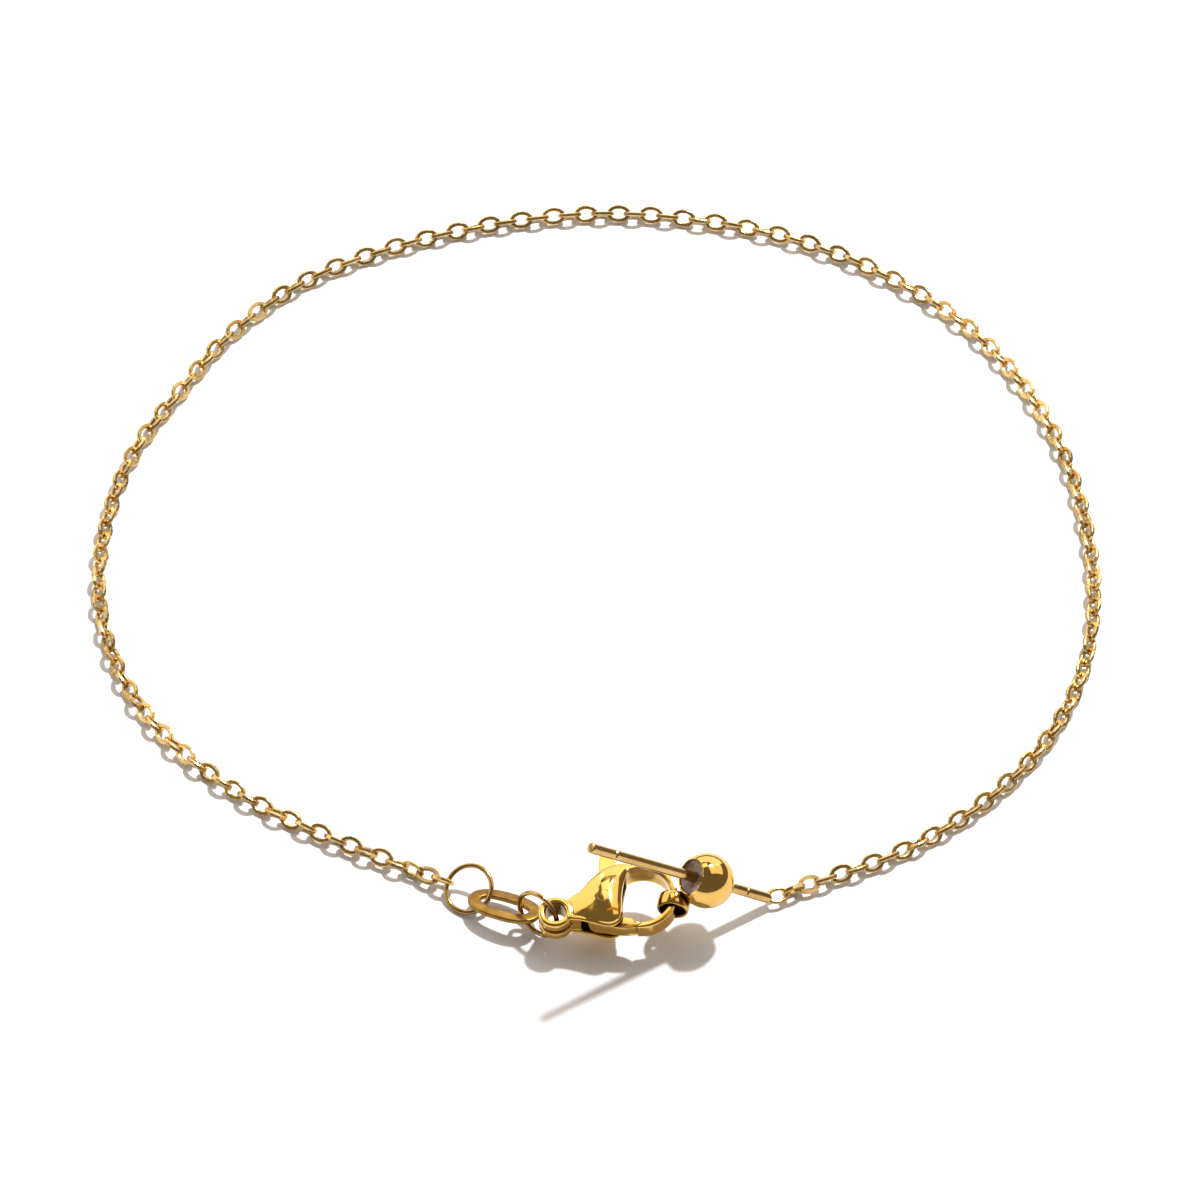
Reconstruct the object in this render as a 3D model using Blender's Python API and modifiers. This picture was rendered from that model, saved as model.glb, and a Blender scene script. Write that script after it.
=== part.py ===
"""Chain bracelet: a fine cable chain closed by a lobster clasp.

One end of the chain is soldered to a straight threading pin that carries a
stopper ball; the clasp hooks the ball's bail and hangs, through a jump ring
and a slotted oval tag, from the ring at the chain's other end. The bracelet
lies closed on a table. Sizes below are in millimetres, Z is up, and the
origin is under the middle of the whole bracelet, at table height.
"""

import math

import bmesh
import bpy
from mathutils import Matrix, Vector

MM = 0.001

# The closed bracelet's loop, across the table and away from the clasp
LOOP_WIDTH = 62.2
LOOP_DEPTH = 61.6

# Chain: the links' size, and the tube that stands for the middle of the chain.
# Its route is in shares of half the loop's width and depth
LINK_LENGTH = 1.54
LINK_WIDTH = 1.06
LINK_WIRE = 0.22
LINK_SLACK = 0.04
CHAIN_THICKNESS = 1.0
CHAIN_POINTS = 76
CHAIN_ROUTE = [
    (0.598, -0.753), (0.762, -0.627), (0.891, -0.464), (0.971, -0.276), (1.0, -0.078),
    (0.99, 0.12), (0.952, 0.315), (0.878, 0.503), (0.765, 0.675), (0.614, 0.812), (0.424, 0.922),
    (0.219, 0.981), (0.006, 1.0), (-0.206, 0.971), (-0.412, 0.906), (-0.598, 0.808), (-0.746, 0.662),
    (-0.852, 0.49), (-0.942, 0.315), (-0.99, 0.12), (-0.997, -0.078), (-0.952, -0.273), (-0.855, -0.448),
    (-0.714, -0.591), (-0.55, -0.701), (-0.405, -0.786),
]

# Threading pin: it rises from its foot at the chain's right end
PIN_FOOT = (10.43, -26.98, 0.65)
PIN_LENGTH = 14.5
PIN_DIAMETER = 0.65
PIN_AZIMUTH = -161.5
PIN_ELEVATION = 38.5
PIN_TIP_BEVEL = 0.08
GROOVE_FROM_END = 1.9
GROOVE_WIDTH = 0.16
GROOVE_DEPTH = 0.05
LOOP_AZIMUTH = 20.5
LOOP_ELEVATION = -3.0
LOOP_ROLL = 20.0
SOLDER_OVERLAP = 0.12

# Stopper ball with its soldered bail and its silicone insert
BALL_DIAMETER = 3.4
BALL_ON_PIN = 5.05
BALL_HOLE = 2.1
BALL_RIM_BEVEL = 0.06
INSERT_RECESS = 0.18
INSERT_DISH = 0.12
BAIL_AZIMUTH = -159.4
BAIL_ELEVATION = -31.4
BAIL_WIDTH = 2.0
BAIL_HOLE = 1.44
BAIL_LENGTH = 0.95
BAIL_EDGE = 0.14
BAIL_SOLDER = 0.2
SNUG_GAP = 0.03

# Lobster clasp, drawn in its own plane round the middle of its hook:
# +X runs from the eye to the nose, +Y to the shoulder, +Z out of its face.
# Its outlines and places are shares of HOOK_RADIUS
CLASP_AZIMUTH = 10.0
CLASP_ELEVATION = 4.0
CLASP_ROLL = 8.0
HOOK_RADIUS = 2.0
HOOK_WALL = 0.42
HOOK_TIP_DEPTH = 1.2
HOOK_ROOT_DEPTH = 1.65
HOOK_ROOT_ANGLE = 112.0
HOOK_EDGE = 0.08
BAIL_ON_HOOK_ANGLE = -19.0
BAIL_OFF_HOOK = 0.04
EYE_CENTRE = (-2.635, -0.07)
EYE_DIAMETER = 2.12
EYE_HOLE = 1.34
EYE_DEPTH = 1.6
EYE_GROOVE = 0.22
BODY_DEPTH = 2.8
BODY_OUTLINE = [
    (-2.25, -0.31), (-1.95, -0.46), (-1.6, -0.63), (-1.27, -0.81), (-1.03, -0.86), (-0.81, -0.76),
    (-0.69, -0.5), (-0.61, -0.11), (-0.51, 0.27), (-0.37, 0.65), (-0.18, 1.07), (-0.32, 1.17),
    (-0.65, 1.12), (-1.05, 1.0), (-1.45, 0.75), (-1.8, 0.47), (-2.25, 0.27),
]
BODY_MIDDLE = (-1.1, 0.08)
# Columns: place along the clasp, depth of the side wall and of the crown, as shares of BODY_DEPTH
BODY_PROFILE = [
    (-2.25, 0.46, 0.52), (-1.8, 0.56, 0.72), (-1.3, 0.64, 0.96), (-0.9, 0.66, 1.00),
    (-0.55, 0.62, 0.90), (-0.15, 0.5, 0.6),
]
# Shares of the way out from the body's middle at which its crown is drawn
BODY_RINGS = (0.97, 0.9, 0.78, 0.6, 0.35)

# Lever: a flat sprung plate that turns on a rivet inside the body
RIVET_PLACE = (-1.135, 0.03)
RIVET_DIAMETER = 0.7
RIVET_PROUD = 0.03
LEVER_DEPTH = 1.0
LEVER_SIDE_GAP = 0.05
LEVER_TIP_GAP = 0.06
LEVER_EDGE = 0.05
LEVER_OUTLINE = [
    (-0.4, -0.71), (-0.7, -0.54), (-0.8, -0.34), (-0.8, 0.05), (-0.72, 0.45), (-0.6, 0.8),
    (-0.54, 1.15), (-0.52, 1.48), (-0.58, 1.62), (-0.9, 1.69), (-0.99, 1.6), (-1.09, 1.15),
    (-1.15, 0.75), (-1.42, 0.36), (-1.67, 0.0), (-1.8, -0.28), (-1.81, -0.48), (-1.66, -0.6),
    (-1.38, -0.74), (-0.96, -0.9), (-0.6, -1.01),
]
SLOT_OUTLINE = [
    (-1.88, -1.45), (0.3, -1.45), (0.3, 0.63), (-0.47, 0.78), (-0.47, 1.85), (-1.6, 1.85),
    (-1.6, 0.65), (-1.88, 0.25),
]

# Jump rings and oval tag between the clasp and the chain's left end
RING_DIAMETER = 3.2
RING_WIRE = 0.28
RING_SEAM = 0.05
CLASP_RING_AZIMUTH = -39.8
CLASP_RING_ELEVATION = 0.0
CLASP_RING_ROLL = 80.9
CLASP_RING_EYE_ANGLE = 10.0
CLASP_RING_TAG_ANGLE = 207.0
CLASP_RING_IN_EYE = (0.0, -0.33)
CLASP_RING_SEAM_ANGLE = 300.0
TAG_LENGTH = 4.7
TAG_WIDTH = 2.6
TAG_BORDER = 0.76
TAG_THICKNESS = 0.28
TAG_EDGE = 0.05
TAG_AZIMUTH = -25.0
TAG_ELEVATION = 5.0
TAG_ROLL = -13.0
CLASP_RING_IN_SLOT = 0.5
END_RING_IN_SLOT = 0.4
END_RING_AZIMUTH = -41.0
END_RING_ELEVATION = -1.0
END_RING_ROLL = 31.0
END_RING_LINK_ANGLE = 195.0
END_RING_SEAM_ANGLE = 88.0

# Colours: base colour, roughness and metallic value of each finish
GOLD = (0.86, 0.60, 0.20)
PALE_GOLD = (0.90, 0.70, 0.34)
MATT_GOLD = (0.66, 0.47, 0.17)
SILICONE = (0.42, 0.36, 0.30)


# Scene, collections and finishes

def start_scene():
    for old in list(bpy.data.objects):
        bpy.data.objects.remove(old, do_unlink=True)
    parts = bpy.data.collections.new("chain_bracelet")
    cutters = bpy.data.collections.new("cutters")
    bpy.context.scene.collection.children.link(parts)
    bpy.context.scene.collection.children.link(cutters)
    return parts, cutters


def finish(name, colour, roughness, metallic):
    material = bpy.data.materials.new(name)
    material.use_nodes = True
    shader = material.node_tree.nodes["Principled BSDF"]
    shader.inputs["Base Color"].default_value = (*colour, 1.0)
    shader.inputs["Roughness"].default_value = roughness
    shader.inputs["Metallic"].default_value = metallic
    return material


def add_part(name, mesh, place, material, parent=None):
    part = bpy.data.objects.new(name, mesh)
    PARTS.objects.link(part)
    part.parent = parent
    part.matrix_basis = place
    mesh.materials.clear()
    mesh.materials.append(material)
    mesh.shade_smooth()
    mesh.set_sharp_from_angle(angle=math.radians(35))
    return part


def add_cutter(name, mesh, place, parent=None):
    cutter = bpy.data.objects.new(name, mesh)
    CUTTERS.objects.link(cutter)
    cutter.parent = parent
    cutter.matrix_basis = place
    cutter.hide_render = True
    cutter.display_type = "WIRE"
    return cutter


def combine(part, other, operation):
    step = part.modifiers.new(other.name, "BOOLEAN")
    step.object = other
    step.operation = operation
    step.solver = "EXACT"


# Places

def frame(origin, azimuth, elevation, roll):
    """A place whose X axis points along the two angles; roll turns it about that axis."""
    turn = Matrix.Rotation(math.radians(azimuth), 4, "Z")
    turn @= Matrix.Rotation(math.radians(-elevation), 4, "Y")
    turn @= Matrix.Rotation(math.radians(roll), 4, "X")
    return Matrix.Translation(Vector(origin) * MM) @ turn


def in_frame(place, x, y, z=0.0):
    """World position, in millimetres, of a point given in a place's own millimetres."""
    return (place @ Vector((x * MM, y * MM, z * MM))) / MM


def along(place, axis=0):
    return place.to_3x3().col[axis].normalized()


def on_circle(radius, degrees):
    return radius * math.cos(math.radians(degrees)), radius * math.sin(math.radians(degrees))


def axes_frame(origin, x_axis, z_hint):
    """A place with X along x_axis and Z as near z_hint as that allows."""
    x_axis = x_axis.normalized()
    y_axis = z_hint.cross(x_axis).normalized()
    turn = Matrix((x_axis, y_axis, x_axis.cross(y_axis))).transposed().to_4x4()
    return Matrix.Translation(Vector(origin) * MM) @ turn


# Shapes

def smooth_curve(points, steps, closed):
    """Points of a smooth curve through the given ones, the same number in each span."""
    count = len(points)
    spans = count if closed else count - 1
    result = []
    for span in range(spans):
        if closed:
            p0, p1, p2, p3 = (points[(span + k - 1) % count] for k in range(4))
        else:
            p1, p2 = points[span], points[span + 1]
            p0 = points[span - 1] if span else p1 * 2 - p2
            p3 = points[span + 2] if span + 2 < count else p2 * 2 - p1
        for step in range(steps):
            t = step / steps
            result.append(
                p1 + (p2 - p0) * (0.5 * t)
                + (p0 * 2 - p1 * 5 + p2 * 4 - p3) * (0.5 * t * t)
                + (p1 * 3 - p0 - p2 * 3 + p3) * (0.5 * t * t * t)
            )
    if not closed:
        result.append(points[-1].copy())
    return result


def even_points(points, count):
    """The same path, with its points an equal length apart."""
    lengths = [0.0]
    for before, after in zip(points, points[1:]):
        lengths.append(lengths[-1] + (after - before).length)
    result = []
    span = 0
    for index in range(count):
        target = lengths[-1] * index / (count - 1)
        while span < len(points) - 2 and lengths[span + 1] < target:
            span += 1
        share = (target - lengths[span]) / (lengths[span + 1] - lengths[span])
        result.append(points[span].lerp(points[span + 1], share))
    return result


def mesh_of(thing, place=None):
    """The evaluated mesh of a curve or modified object, welded, with the object removed."""
    bpy.context.view_layer.update()
    mesh = bpy.data.meshes.new_from_object(thing.evaluated_get(bpy.context.evaluated_depsgraph_get()))
    bpy.data.objects.remove(thing, do_unlink=True)
    work = bmesh.new()
    work.from_mesh(mesh)
    bmesh.ops.remove_doubles(work, verts=work.verts, dist=0.0005 * MM)
    bmesh.ops.recalc_face_normals(work, faces=work.faces)
    if place is not None:
        bmesh.ops.transform(work, matrix=place, verts=work.verts)
    work.to_mesh(mesh)
    work.free()
    return mesh


def wire_mesh(name, points, diameter, closed, sides_level=2):
    """A round wire along points in millimetres, with filled ends where it is open."""
    curve = bpy.data.curves.new(name, "CURVE")
    curve.dimensions = "3D"
    curve.bevel_depth = diameter / 2 * MM
    curve.bevel_resolution = sides_level
    curve.use_fill_caps = not closed
    spline = curve.splines.new("POLY")
    spline.points.add(len(points) - 1)
    for slot, point in zip(spline.points, points):
        slot.co = (*(Vector(point) * MM), 1.0)
    spline.use_cyclic_u = closed
    wire = bpy.data.objects.new(name, curve)
    bpy.context.scene.collection.objects.link(wire)
    return mesh_of(wire)


def plate_mesh(name, outlines, thickness, edge=0.0):
    """A flat plate in the XY plane; outlines after the first are holes through it."""
    curve = bpy.data.curves.new(name, "CURVE")
    curve.dimensions = "2D"
    curve.fill_mode = "BOTH"
    curve.extrude = (thickness / 2 - edge) * MM
    curve.bevel_depth = edge * MM
    curve.bevel_resolution = 0
    curve.offset = -edge * MM
    for outline in outlines:
        spline = curve.splines.new("POLY")
        spline.points.add(len(outline) - 1)
        for slot, (x, y) in zip(spline.points, outline):
            slot.co = (x * MM, y * MM, 0.0, 1.0)
        spline.use_cyclic_u = True
    plate = bpy.data.objects.new(name, curve)
    bpy.context.scene.collection.objects.link(plate)
    return mesh_of(plate)


def turned_mesh(name, profile, steps):
    """A profile of (radius, height) points, turned about Z, run top to bottom outside."""
    mesh = bpy.data.meshes.new(name)
    closed = profile[0][0] > 0 and profile[-1][0] > 0
    edges = [(index, index + 1) for index in range(len(profile) - 1)]
    if closed:
        edges.append((len(profile) - 1, 0))
    mesh.from_pydata([(radius * MM, 0.0, height * MM) for radius, height in profile], edges, [])
    turned = bpy.data.objects.new(name, mesh)
    bpy.context.scene.collection.objects.link(turned)
    screw = turned.modifiers.new("turn", "SCREW")
    screw.angle = math.tau
    screw.steps = steps
    screw.render_steps = steps
    screw.use_merge_vertices = True
    screw.merge_threshold = 0.0005 * MM
    return mesh_of(turned)


def lofted_mesh(name, rings):
    """Closed skin over rings of points in millimetres that all have the same number of points."""
    work = bmesh.new()
    rows = [[work.verts.new(Vector(point) * MM) for point in ring] for ring in rings]
    count = len(rows[0])
    for lower, upper in zip(rows, rows[1:]):
        for index in range(count):
            following = (index + 1) % count
            work.faces.new((lower[index], lower[following], upper[following], upper[index]))
    work.faces.new(rows[0])
    work.faces.new(rows[-1])
    bmesh.ops.recalc_face_normals(work, faces=work.faces)
    mesh = bpy.data.meshes.new(name)
    work.to_mesh(mesh)
    work.free()
    return mesh


def link_points(steps=16):
    """Centre line of one oval link, long along X, in its own XY plane."""
    half_length = (LINK_LENGTH - LINK_WIRE) / 2
    half_width = (LINK_WIDTH - LINK_WIRE) / 2
    return [
        Vector((half_length * math.cos(math.tau * k / steps), half_width * math.sin(math.tau * k / steps), 0.0))
        for k in range(steps)
    ]


def link_at(place):
    return [(place @ (point * MM)) / MM for point in link_points()]


def link_pitch():
    return LINK_LENGTH - 2 * LINK_WIRE - LINK_SLACK


# Pieces

def make_pin(foot, place):
    """Turned pin along X from its foot, grooved near both ends, with a loop soldered on."""
    radius = PIN_DIAMETER / 2
    groove = radius - GROOVE_DEPTH
    profile = [(0.0, PIN_LENGTH), (radius - PIN_TIP_BEVEL, PIN_LENGTH), (radius, PIN_LENGTH - PIN_TIP_BEVEL)]
    for middle in (PIN_LENGTH - GROOVE_FROM_END, GROOVE_FROM_END):
        profile += [
            (radius, middle + GROOVE_WIDTH / 2),
            (groove, middle + GROOVE_WIDTH / 4),
            (groove, middle - GROOVE_WIDTH / 4),
            (radius, middle - GROOVE_WIDTH / 2),
        ]
    profile += [(radius, PIN_TIP_BEVEL / 2), (radius - PIN_TIP_BEVEL / 2, 0.0), (0.0, 0.0)]
    mesh = turned_mesh("threading_pin", profile, 16)
    mesh.transform(Matrix.Rotation(math.radians(90), 4, "Y"))
    pin = add_part("threading_pin", mesh, place, FINISHES["pin"])
    loop = frame(foot, LOOP_AZIMUTH, LOOP_ELEVATION, LOOP_ROLL)
    loop_middle = in_frame(loop, LINK_LENGTH / 2 - SOLDER_OVERLAP, 0.0)
    loop = Matrix.Translation((loop_middle - foot) * MM) @ loop
    combine(pin, add_cutter("pin_loop", wire_mesh("pin_loop", link_at(loop), LINK_WIRE, True), Matrix()), "UNION")
    return loop


def make_ball(place, bail):
    """Hollow-bored ball on the pin's axis, with a short tube soldered to its side."""
    radius = BALL_DIAMETER / 2
    bore = BALL_HOLE / 2
    rim = math.asin((bore + BALL_RIM_BEVEL) / radius)
    outside = [
        (radius * math.sin(rim + (math.pi - 2 * rim) * k / 14), radius * math.cos(rim + (math.pi - 2 * rim) * k / 14))
        for k in range(15)
    ]
    bore_end = radius * math.cos(rim) - BALL_RIM_BEVEL / 2
    mesh = turned_mesh("stopper_ball", outside + [(bore, -bore_end), (bore, bore_end)], 32)
    mesh.transform(Matrix.Rotation(math.radians(90), 4, "Y"))
    ball = add_part("stopper_ball", mesh, place, FINISHES["ball"])

    outer = BAIL_WIDTH / 2
    inner = BAIL_HOLE / 2
    half = BAIL_LENGTH / 2
    bevel = BAIL_EDGE / 2
    ring = [
        (inner + bevel, half), (outer - BAIL_EDGE, half), (outer, half - BAIL_EDGE), (outer, BAIL_EDGE - half),
        (outer - BAIL_EDGE, -half), (inner + bevel, -half), (inner, bevel - half), (inner, half - bevel),
    ]
    tube = add_cutter("bail_tube", turned_mesh("bail_tube", ring, 24), bail)
    combine(ball, tube, "UNION")


def make_insert(place):
    """Silicone sleeve that fills the ball's bore and grips the pin, dished at both ends."""
    outer = BALL_HOLE / 2 - SNUG_GAP
    inner = PIN_DIAMETER / 2 + SNUG_GAP
    half = math.sqrt((BALL_DIAMETER / 2) ** 2 - (BALL_HOLE / 2) ** 2) - INSERT_RECESS
    middle = (outer + inner) / 2
    profile = [
        (inner, half - INSERT_DISH), (middle, half - INSERT_DISH * 0.7), (outer, half),
        (outer, -half), (middle, INSERT_DISH * 0.7 - half), (inner, INSERT_DISH - half),
    ]
    mesh = turned_mesh("silicone_insert", profile, 24)
    mesh.transform(Matrix.Rotation(math.radians(90), 4, "Y"))
    add_part("silicone_insert", mesh, place, FINISHES["silicone"])


def in_clasp(outline):
    """Points of the clasp's plane, in millimetres, from their shares of the hook's radius."""
    return [Vector(point) * HOOK_RADIUS for point in outline]


def profile_depth(x, column):
    """Half depth of the clasp's body at a place along it, read from BODY_PROFILE."""
    table = [(row[0] * HOOK_RADIUS, *row[1:]) for row in BODY_PROFILE]
    if x <= table[0][0]:
        share = table[0][column]
    elif x >= table[-1][0]:
        share = table[-1][column]
    else:
        upper = next(k for k, row in enumerate(table) if row[0] >= x)
        before, after = table[upper - 1], table[upper]
        t = (x - before[0]) / (after[0] - before[0])
        share = before[column] + (after[column] - before[column]) * t
    return share * BODY_DEPTH / 2


def body_mesh():
    """The clasp's rounded body: an outline with upright sides and a crown on both faces."""
    outline = smooth_curve(in_clasp(BODY_OUTLINE), 3, True)
    middle = Vector(BODY_MIDDLE) * HOOK_RADIUS

    def ring(share, side):
        points = []
        for point in outline:
            place = middle.lerp(point, share)
            wall = profile_depth(place.x, 1)
            crown = profile_depth(place.x, 2)
            rise = wall + (crown - wall) * math.sqrt(1 - share ** 2)
            points.append((place.x, place.y, side * rise))
        return points

    rings = [ring(share, -1) for share in reversed(BODY_RINGS)]
    rings += [ring(1.0, -1), ring(1.0, 1)]
    rings += [ring(share, 1) for share in BODY_RINGS]
    mesh = lofted_mesh("clasp_body", rings)
    work = bmesh.new()
    work.from_mesh(mesh)
    bmesh.ops.poke(work, faces=[face for face in work.faces if len(face.verts) > 4])
    for vertex in work.verts:
        if len(vertex.link_edges) == len(outline):
            vertex.co.z = math.copysign(profile_depth(middle.x, 2) * MM, vertex.co.z)
    work.to_mesh(mesh)
    work.free()
    return mesh


def seam_angle(radius, reach):
    """Angle on the hook, at a radius, of the point that lies at a reach from the rivet."""
    offset = RIVET_CENTRE.length
    bearing = math.atan2(RIVET_CENTRE.y, RIVET_CENTRE.x)
    cosine = (radius ** 2 + offset ** 2 - reach ** 2) / (2 * radius * offset)
    return math.degrees(bearing + math.acos(cosine)) - 360 * (bearing > 0)


def hook_mesh():
    """The claw: a band bent round the origin, deepest at its root in the body's shoulder."""
    half_wall = HOOK_WALL / 2
    section = [
        (-half_wall, -1, 1), (-half_wall, 1, -1), (-half_wall + HOOK_EDGE, 1, 0), (half_wall - HOOK_EDGE, 1, 0),
        (half_wall, 1, -1), (half_wall, -1, 1), (half_wall - HOOK_EDGE, -1, 0), (-half_wall + HOOK_EDGE, -1, 0),
    ]
    steps = 22
    rings = []
    for step in range(steps + 1):
        share = step / steps
        half_depth = (HOOK_TIP_DEPTH + (HOOK_ROOT_DEPTH - HOOK_TIP_DEPTH) * share ** 1.5) / 2
        ring = []
        for offset, side, inset in section:
            radius = HOOK_RADIUS + offset
            start = seam_angle(radius, SEAM_REACH)
            angle = start + (HOOK_ROOT_ANGLE - start) * share
            x, y = on_circle(radius, angle)
            ring.append((x, y, side * half_depth + inset * HOOK_EDGE))
        rings.append(ring)
    return lofted_mesh("clasp_hook", rings)


def eye_mesh():
    """Flat ring at the clasp's tail, with a groove round its rim."""
    outer = EYE_DIAMETER / 2
    inner = EYE_HOLE / 2
    half = EYE_DEPTH / 2
    soft = (outer - inner) * 0.3
    profile = [
        (inner + soft, half), (outer - soft, half), (outer, half - soft), (outer, EYE_GROOVE / 2),
        (outer - soft, 0.0), (outer, -EYE_GROOVE / 2), (outer, soft - half), (outer - soft, -half),
        (inner + soft, -half), (inner, soft - half), (inner, half - soft),
    ]
    return turned_mesh("clasp_eye", profile, 28)


def rivet_mesh(name, diameter, half, dome):
    radius = diameter / 2
    profile = [(0.0, half + dome), (radius * 0.6, half + dome * 0.6), (radius, half)]
    profile += [(radius, -half), (radius * 0.6, -half - dome * 0.6), (0.0, -half - dome)]
    return turned_mesh(name, profile, 20)


def make_clasp(place):
    """Body with claw and eye in one piece, the lever in its slot and the rivet it turns on."""
    holder = bpy.data.objects.new("clasp_place", None)
    PARTS.objects.link(holder)
    holder.matrix_basis = place
    holder.empty_display_size = BODY_DEPTH * MM

    body = add_part("clasp_body", body_mesh(), Matrix(), FINISHES["clasp"], holder)
    slot = plate_mesh("lever_slot", [in_clasp(SLOT_OUTLINE)], LEVER_DEPTH + 2 * LEVER_SIDE_GAP)
    combine(body, add_cutter("lever_slot", slot, Matrix(), holder), "DIFFERENCE")
    combine(body, add_cutter("clasp_hook", hook_mesh(), Matrix(), holder), "UNION")
    eye_place = Matrix.Translation(Vector((*EYE_CENTRE, 0.0)) * HOOK_RADIUS * MM)
    combine(body, add_cutter("clasp_eye", eye_mesh(), eye_place, holder), "UNION")

    rivet_place = Matrix.Translation(RIVET_CENTRE.to_3d() * MM)
    crown = profile_depth(RIVET_CENTRE.x, 2)
    hole = rivet_mesh("rivet_hole", RIVET_DIAMETER + 2 * SNUG_GAP, BODY_DEPTH, 0.0)
    combine(body, add_cutter("rivet_hole", hole, rivet_place, holder), "DIFFERENCE")
    rivet = rivet_mesh("lever_rivet", RIVET_DIAMETER, crown - RIVET_PROUD, 2 * RIVET_PROUD)
    add_part("lever_rivet", rivet, rivet_place, FINISHES["clasp"], holder)

    inner = seam_angle(HOOK_RADIUS - HOOK_WALL / 2, SEAM_REACH - LEVER_TIP_GAP)
    outer = seam_angle(HOOK_RADIUS + HOOK_WALL / 2, SEAM_REACH - LEVER_TIP_GAP)
    tip = [
        on_circle(HOOK_RADIUS + HOOK_WALL * (0.5 - share), outer + (inner - outer) * share)
        for share in (0.12, 0.5, 0.88)
    ]
    outline = smooth_curve(in_clasp(LEVER_OUTLINE), 2, False)
    outline = [point - RIVET_CENTRE for point in outline + [Vector(point) for point in tip]]
    bearing = [on_circle(RIVET_DIAMETER / 2 + SNUG_GAP, 360 * k / 20) for k in range(20)]
    lever = plate_mesh("clasp_lever", [outline, bearing], LEVER_DEPTH, LEVER_EDGE)
    add_part("clasp_lever", lever, rivet_place, FINISHES["clasp"], holder)


def ring_mesh(name, seam):
    """Round jump ring in its own XY plane, cut through at its seam."""
    radius = (RING_DIAMETER - RING_WIRE) / 2
    half_gap = math.degrees(RING_SEAM / 2 / radius)
    steps = 36
    points = []
    for k in range(steps + 1):
        angle = seam + half_gap + (360 - 2 * half_gap) * k / steps
        points.append((*on_circle(radius, angle), 0.0))
    return wire_mesh(name, points, RING_WIRE, False)


def oval(half_length, half_width, power, count):
    """A rounded oval outline, squarer as the power grows."""
    points = []
    for k in range(count):
        cosine = math.cos(math.tau * k / count)
        sine = math.sin(math.tau * k / count)
        x = math.copysign(abs(cosine) ** (2 / power), cosine) * half_length
        y = math.copysign(abs(sine) ** (2 / power), sine) * half_width
        points.append((x, y))
    return points


def make_tag(place):
    outside = oval(TAG_LENGTH / 2, TAG_WIDTH / 2, 2.3, 40)
    slot = oval(TAG_LENGTH / 2 - TAG_BORDER, TAG_WIDTH / 2 - TAG_BORDER, 2.6, 28)
    mesh = plate_mesh("oval_tag", [outside, slot], TAG_THICKNESS, TAG_EDGE)
    add_part("oval_tag", mesh, place, FINISHES["tag"])


def loop_points():
    """The chain's route on the table, in millimetres, from its shares of the loop."""
    return [Vector((x * LOOP_WIDTH / 2, y * LOOP_DEPTH / 2, CHAIN_THICKNESS / 2)) for x, y in CHAIN_ROUTE]


def make_chain(right_link, left_link):
    """Tube along the route, with a real link fused to each end through its neighbour."""
    start = in_frame(right_link, link_pitch() / 2, 0.0)
    end = in_frame(left_link, -link_pitch() / 2, 0.0)
    path = even_points(smooth_curve([start] + loop_points() + [end], 16, False), CHAIN_POINTS)
    for point in path:
        point.z = max(point.z, CHAIN_THICKNESS / 2)
    chain = add_part("chain", wire_mesh("chain", path, CHAIN_THICKNESS, False), Matrix(), FINISHES["chain"])
    for name, place in (("right_link", right_link), ("left_link", left_link)):
        combine(chain, add_cutter(name, wire_mesh(name, link_at(place), LINK_WIRE, True), Matrix()), "UNION")


PARTS, CUTTERS = start_scene()
FINISHES = {
    "chain": finish("chain_gold", PALE_GOLD, 0.28, 1.0),
    "ring": finish("ring_gold", PALE_GOLD, 0.25, 1.0),
    "tag": finish("tag_matt_gold", MATT_GOLD, 0.45, 1.0),
    "clasp": finish("clasp_gold", GOLD, 0.16, 1.0),
    "ball": finish("ball_gold", GOLD, 0.12, 1.0),
    "pin": finish("pin_gold", GOLD, 0.25, 1.0),
    "silicone": finish("insert_silicone", SILICONE, 0.5, 0.0),
}

# The seam between lever and claw lies on a circle round the rivet, so the lever clears it
SEAM_MIDDLE_ANGLE = -103.0
RIVET_CENTRE = Vector(RIVET_PLACE) * HOOK_RADIUS
SEAM_REACH = math.dist(on_circle(HOOK_RADIUS, SEAM_MIDDLE_ANGLE), RIVET_CENTRE)

# From the pin's foot, each piece is placed by the one that carries it
pin_foot = Vector(PIN_FOOT)
pin_place = frame(pin_foot, PIN_AZIMUTH, PIN_ELEVATION, 0.0)
loop_place = make_pin(pin_foot, pin_place)

ball_middle = in_frame(pin_place, BALL_ON_PIN, 0.0)
ball_place = frame(ball_middle, PIN_AZIMUTH, PIN_ELEVATION, 0.0)
bail_reach = BALL_DIAMETER / 2 + BAIL_WIDTH / 2 - BAIL_SOLDER
bail_middle = in_frame(frame(ball_middle, BAIL_AZIMUTH, BAIL_ELEVATION, 0.0), bail_reach, 0.0)

clasp_turn = frame((0, 0, 0), CLASP_AZIMUTH, CLASP_ELEVATION, CLASP_ROLL)
hook_at_bail = in_frame(clasp_turn, *on_circle(HOOK_RADIUS - BAIL_OFF_HOOK, BAIL_ON_HOOK_ANGLE))
clasp_place = frame(bail_middle - hook_at_bail, CLASP_AZIMUTH, CLASP_ELEVATION, CLASP_ROLL)
hook_run = clasp_turn.to_3x3() @ Vector((*on_circle(1.0, BAIL_ON_HOOK_ANGLE + 90), 0.0))
bail_place = Matrix.Translation(bail_middle * MM) @ hook_run.to_track_quat("Z", "Y").to_matrix().to_4x4()
make_ball(ball_place, bail_place)
make_insert(ball_place)
make_clasp(clasp_place)

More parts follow.
